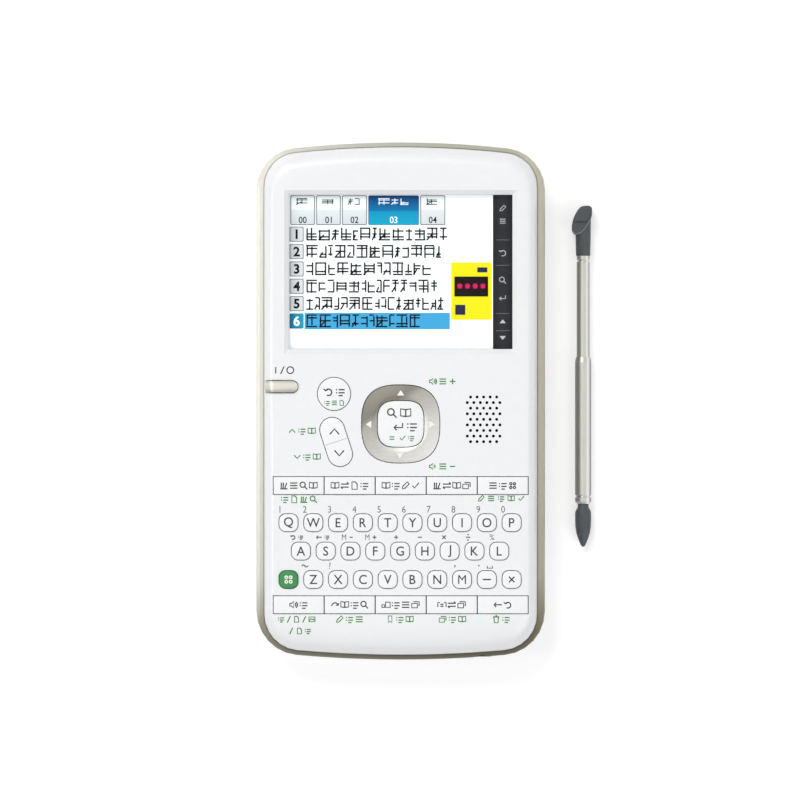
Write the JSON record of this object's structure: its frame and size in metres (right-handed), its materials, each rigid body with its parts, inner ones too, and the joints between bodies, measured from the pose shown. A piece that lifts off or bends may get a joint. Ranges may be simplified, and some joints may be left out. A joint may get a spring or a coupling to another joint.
{
  "type": "electronic dictionary",
  "caption": "Hand-held slate electronic dictionary with a colour touch screen, letter keypad, cursor ring, metallic side band and a telescopic pen.",
  "frame": {"origin": "on the flat back face, at the middle of the case's width and length", "axes": "+Y to the top edge above the screen, +X to the reader's right, +Z out of the screen"},
  "size_m": [0.0809, 0.1244, 0.0179],
  "materials": {
    "case_white": "semi-gloss moulded",
    "champagne": "satin metallic",
    "key_white": "satin moulded",
    "key_green": "satin moulded",
    "clear_panel": "clear, slightly glossy",
    "display": "lit picture",
    "board": "solder mask",
    "rubber_sheet": "matt",
    "speaker": "matt",
    "socket": "matt",
    "cell": "plain sleeve",
    "steel": "plated",
    "pen_steel": "satin drawn tube",
    "pen_plastic": "fine matt"
  },
  "bodies": {
    "housing": {"rear_cover": "case_white", "rim_band": "champagne", "front_cover": "case_white", "battery_cells": "cell", "main_board": "board", "key_sheet": "rubber_sheet", "lcd_panel": "display", "touch_panel": "clear_panel", "speaker": "speaker", "earphone_jack": "socket", "case_screws": "steel", "stylus_barrel": "pen_steel", "stylus_tip": "pen_plastic"},
    "key_q": {"key_q": "key_white"},
    "key_w": {"key_w": "key_white"},
    "key_e": {"key_e": "key_white"},
    "key_r": {"key_r": "key_white"},
    "key_t": {"key_t": "key_white"},
    "key_y": {"key_y": "key_white"},
    "key_u": {"key_u": "key_white"},
    "key_i": {"key_i": "key_white"},
    "key_o": {"key_o": "key_white"},
    "key_p": {"key_p": "key_white"},
    "key_a": {"key_a": "key_white"},
    "key_s": {"key_s": "key_white"},
    "key_d": {"key_d": "key_white"},
    "key_f": {"key_f": "key_white"},
    "key_g": {"key_g": "key_white"},
    "key_h": {"key_h": "key_white"},
    "key_j": {"key_j": "key_white"},
    "key_k": {"key_k": "key_white"},
    "key_l": {"key_l": "key_white"},
    "key_function": {"key_function": "key_green"},
    "key_z": {"key_z": "key_white"},
    "key_x": {"key_x": "key_white"},
    "key_c": {"key_c": "key_white"},
    "key_v": {"key_v": "key_white"},
    "key_b": {"key_b": "key_white"},
    "key_n": {"key_n": "key_white"},
    "key_m": {"key_m": "key_white"},
    "key_dash": {"key_dash": "key_white"},
    "key_clear": {"key_clear": "key_white"},
    "upper_bar_1": {"upper_bar_1": "key_white"},
    "upper_bar_2": {"upper_bar_2": "key_white"},
    "upper_bar_3": {"upper_bar_3": "key_white"},
    "upper_bar_4": {"upper_bar_4": "key_white"},
    "upper_bar_5": {"upper_bar_5": "key_white"},
    "lower_bar_1": {"lower_bar_1": "key_white"},
    "lower_bar_2": {"lower_bar_2": "key_white"},
    "lower_bar_3": {"lower_bar_3": "key_white"},
    "lower_bar_4": {"lower_bar_4": "key_white"},
    "lower_bar_5": {"lower_bar_5": "key_white"},
    "back_key": {"back_key": "key_white"},
    "power_key": {"power_key": "champagne"},
    "cursor_ring": {"cursor_ring": "champagne"},
    "enter_key": {"enter_key": "key_white"},
    "page_rocker": {"page_rocker": "key_white"},
    "battery_cover": {"battery_cover": "case_white"},
    "stylus_slider": {"stylus_tube": "pen_steel", "stylus_cap": "pen_plastic"}
  },
  "joints": [
    {"name": "stylus_telescope", "type": "slide", "parent": "housing", "child": "stylus_slider", "axis": [0, -1, 0], "range_m": [0, 0.0243]},
    {"name": "battery_cover_slide", "type": "slide", "parent": "housing", "child": "battery_cover", "axis": [0, 1, 0], "range_m": [0, 0.012]},
    {"name": "tilt_cursor_ring", "type": "hinge", "parent": "housing", "child": "cursor_ring", "pos_m": [0, -0.0055, 0.0146], "axis": [1, 0, 0], "range_deg": [-2, 2], "stiffness_Nm_per_rad": 0.02},
    {"name": "press_enter_key", "type": "slide", "parent": "cursor_ring", "child": "enter_key", "axis": [0, 0, -1], "range_m": [0, 0.0004], "stiffness_N_per_m": 100, "springref_m": -0.0004},
    {"name": "tilt_page_rocker", "type": "hinge", "parent": "housing", "child": "page_rocker", "pos_m": [-0.0155, -0.00983, 0.0146], "axis": [0.9511, 0.3089, 0], "range_deg": [-3, 3], "stiffness_Nm_per_rad": 0.01},
    {"name": "press_back_key", "type": "slide", "parent": "housing", "child": "back_key", "axis": [0, 0, -1], "range_m": [0, 0.0004], "stiffness_N_per_m": 100, "springref_m": -0.0004},
    {"name": "press_power_key", "type": "slide", "parent": "housing", "child": "power_key", "axis": [0, 0, -1], "range_m": [0, 0.0004], "stiffness_N_per_m": 100, "springref_m": -0.0004},
    {"name": "press_upper_bar_1", "type": "slide", "parent": "housing", "child": "upper_bar_1", "axis": [0, 0, -1], "range_m": [0, 0.0004], "stiffness_N_per_m": 100, "springref_m": -0.0004},
    {"name": "press_lower_bar_5", "type": "slide", "parent": "housing", "child": "lower_bar_5", "axis": [0, 0, -1], "range_m": [0, 0.0004], "stiffness_N_per_m": 100, "springref_m": -0.0004},
    {"name": "press_key_function", "type": "slide", "parent": "housing", "child": "key_function", "axis": [0, 0, -1], "range_m": [0, 0.0004], "stiffness_N_per_m": 100, "springref_m": -0.0004},
    {"name": "press_key_clear", "type": "slide", "parent": "housing", "child": "key_clear", "axis": [0, 0, -1], "range_m": [0, 0.0004], "stiffness_N_per_m": 100, "springref_m": -0.0004},
    {"name": "press_key_q", "type": "slide", "parent": "housing", "child": "key_q", "axis": [0, 0, -1], "range_m": [0, 0.0004], "stiffness_N_per_m": 100, "springref_m": -0.0004},
    {"name": "press_key_w", "type": "slide", "parent": "housing", "child": "key_w", "axis": [0, 0, -1], "range_m": [0, 0.0004], "stiffness_N_per_m": 100, "springref_m": -0.0004},
    {"name": "press_key_e", "type": "slide", "parent": "housing", "child": "key_e", "axis": [0, 0, -1], "range_m": [0, 0.0004], "stiffness_N_per_m": 100, "springref_m": -0.0004},
    {"name": "press_key_r", "type": "slide", "parent": "housing", "child": "key_r", "axis": [0, 0, -1], "range_m": [0, 0.0004], "stiffness_N_per_m": 100, "springref_m": -0.0004},
    {"name": "press_key_t", "type": "slide", "parent": "housing", "child": "key_t", "axis": [0, 0, -1], "range_m": [0, 0.0004], "stiffness_N_per_m": 100, "springref_m": -0.0004},
    {"name": "press_key_y", "type": "slide", "parent": "housing", "child": "key_y", "axis": [0, 0, -1], "range_m": [0, 0.0004], "stiffness_N_per_m": 100, "springref_m": -0.0004},
    {"name": "press_key_u", "type": "slide", "parent": "housing", "child": "key_u", "axis": [0, 0, -1], "range_m": [0, 0.0004], "stiffness_N_per_m": 100, "springref_m": -0.0004},
    {"name": "press_key_i", "type": "slide", "parent": "housing", "child": "key_i", "axis": [0, 0, -1], "range_m": [0, 0.0004], "stiffness_N_per_m": 100, "springref_m": -0.0004},
    {"name": "press_key_o", "type": "slide", "parent": "housing", "child": "key_o", "axis": [0, 0, -1], "range_m": [0, 0.0004], "stiffness_N_per_m": 100, "springref_m": -0.0004},
    {"name": "press_key_p", "type": "slide", "parent": "housing", "child": "key_p", "axis": [0, 0, -1], "range_m": [0, 0.0004], "stiffness_N_per_m": 100, "springref_m": -0.0004},
    {"name": "press_key_a", "type": "slide", "parent": "housing", "child": "key_a", "axis": [0, 0, -1], "range_m": [0, 0.0004], "stiffness_N_per_m": 100, "springref_m": -0.0004},
    {"name": "press_key_s", "type": "slide", "parent": "housing", "child": "key_s", "axis": [0, 0, -1], "range_m": [0, 0.0004], "stiffness_N_per_m": 100, "springref_m": -0.0004},
    {"name": "press_key_d", "type": "slide", "parent": "housing", "child": "key_d", "axis": [0, 0, -1], "range_m": [0, 0.0004], "stiffness_N_per_m": 100, "springref_m": -0.0004},
    {"name": "press_key_f", "type": "slide", "parent": "housing", "child": "key_f", "axis": [0, 0, -1], "range_m": [0, 0.0004], "stiffness_N_per_m": 100, "springref_m": -0.0004},
    {"name": "press_key_g", "type": "slide", "parent": "housing", "child": "key_g", "axis": [0, 0, -1], "range_m": [0, 0.0004], "stiffness_N_per_m": 100, "springref_m": -0.0004},
    {"name": "press_key_h", "type": "slide", "parent": "housing", "child": "key_h", "axis": [0, 0, -1], "range_m": [0, 0.0004], "stiffness_N_per_m": 100, "springref_m": -0.0004},
    {"name": "press_key_j", "type": "slide", "parent": "housing", "child": "key_j", "axis": [0, 0, -1], "range_m": [0, 0.0004], "stiffness_N_per_m": 100, "springref_m": -0.0004},
    {"name": "press_key_k", "type": "slide", "parent": "housing", "child": "key_k", "axis": [0, 0, -1], "range_m": [0, 0.0004], "stiffness_N_per_m": 100, "springref_m": -0.0004},
    {"name": "press_key_l", "type": "slide", "parent": "housing", "child": "key_l", "axis": [0, 0, -1], "range_m": [0, 0.0004], "stiffness_N_per_m": 100, "springref_m": -0.0004},
    {"name": "press_key_z", "type": "slide", "parent": "housing", "child": "key_z", "axis": [0, 0, -1], "range_m": [0, 0.0004], "stiffness_N_per_m": 100, "springref_m": -0.0004},
    {"name": "press_key_x", "type": "slide", "parent": "housing", "child": "key_x", "axis": [0, 0, -1], "range_m": [0, 0.0004], "stiffness_N_per_m": 100, "springref_m": -0.0004},
    {"name": "press_key_c", "type": "slide", "parent": "housing", "child": "key_c", "axis": [0, 0, -1], "range_m": [0, 0.0004], "stiffness_N_per_m": 100, "springref_m": -0.0004},
    {"name": "press_key_v", "type": "slide", "parent": "housing", "child": "key_v", "axis": [0, 0, -1], "range_m": [0, 0.0004], "stiffness_N_per_m": 100, "springref_m": -0.0004},
    {"name": "press_key_b", "type": "slide", "parent": "housing", "child": "key_b", "axis": [0, 0, -1], "range_m": [0, 0.0004], "stiffness_N_per_m": 100, "springref_m": -0.0004},
    {"name": "press_key_n", "type": "slide", "parent": "housing", "child": "key_n", "axis": [0, 0, -1], "range_m": [0, 0.0004], "stiffness_N_per_m": 100, "springref_m": -0.0004},
    {"name": "press_key_m", "type": "slide", "parent": "housing", "child": "key_m", "axis": [0, 0, -1], "range_m": [0, 0.0004], "stiffness_N_per_m": 100, "springref_m": -0.0004},
    {"name": "press_key_dash", "type": "slide", "parent": "housing", "child": "key_dash", "axis": [0, 0, -1], "range_m": [0, 0.0004], "stiffness_N_per_m": 100, "springref_m": -0.0004},
    {"name": "press_upper_bar_2", "type": "slide", "parent": "housing", "child": "upper_bar_2", "axis": [0, 0, -1], "range_m": [0, 0.0004], "stiffness_N_per_m": 100, "springref_m": -0.0004},
    {"name": "press_upper_bar_3", "type": "slide", "parent": "housing", "child": "upper_bar_3", "axis": [0, 0, -1], "range_m": [0, 0.0004], "stiffness_N_per_m": 100, "springref_m": -0.0004},
    {"name": "press_upper_bar_4", "type": "slide", "parent": "housing", "child": "upper_bar_4", "axis": [0, 0, -1], "range_m": [0, 0.0004], "stiffness_N_per_m": 100, "springref_m": -0.0004},
    {"name": "press_upper_bar_5", "type": "slide", "parent": "housing", "child": "upper_bar_5", "axis": [0, 0, -1], "range_m": [0, 0.0004], "stiffness_N_per_m": 100, "springref_m": -0.0004},
    {"name": "press_lower_bar_1", "type": "slide", "parent": "housing", "child": "lower_bar_1", "axis": [0, 0, -1], "range_m": [0, 0.0004], "stiffness_N_per_m": 100, "springref_m": -0.0004},
    {"name": "press_lower_bar_2", "type": "slide", "parent": "housing", "child": "lower_bar_2", "axis": [0, 0, -1], "range_m": [0, 0.0004], "stiffness_N_per_m": 100, "springref_m": -0.0004},
    {"name": "press_lower_bar_3", "type": "slide", "parent": "housing", "child": "lower_bar_3", "axis": [0, 0, -1], "range_m": [0, 0.0004], "stiffness_N_per_m": 100, "springref_m": -0.0004},
    {"name": "press_lower_bar_4", "type": "slide", "parent": "housing", "child": "lower_bar_4", "axis": [0, 0, -1], "range_m": [0, 0.0004], "stiffness_N_per_m": 100, "springref_m": -0.0004}
  ]
}
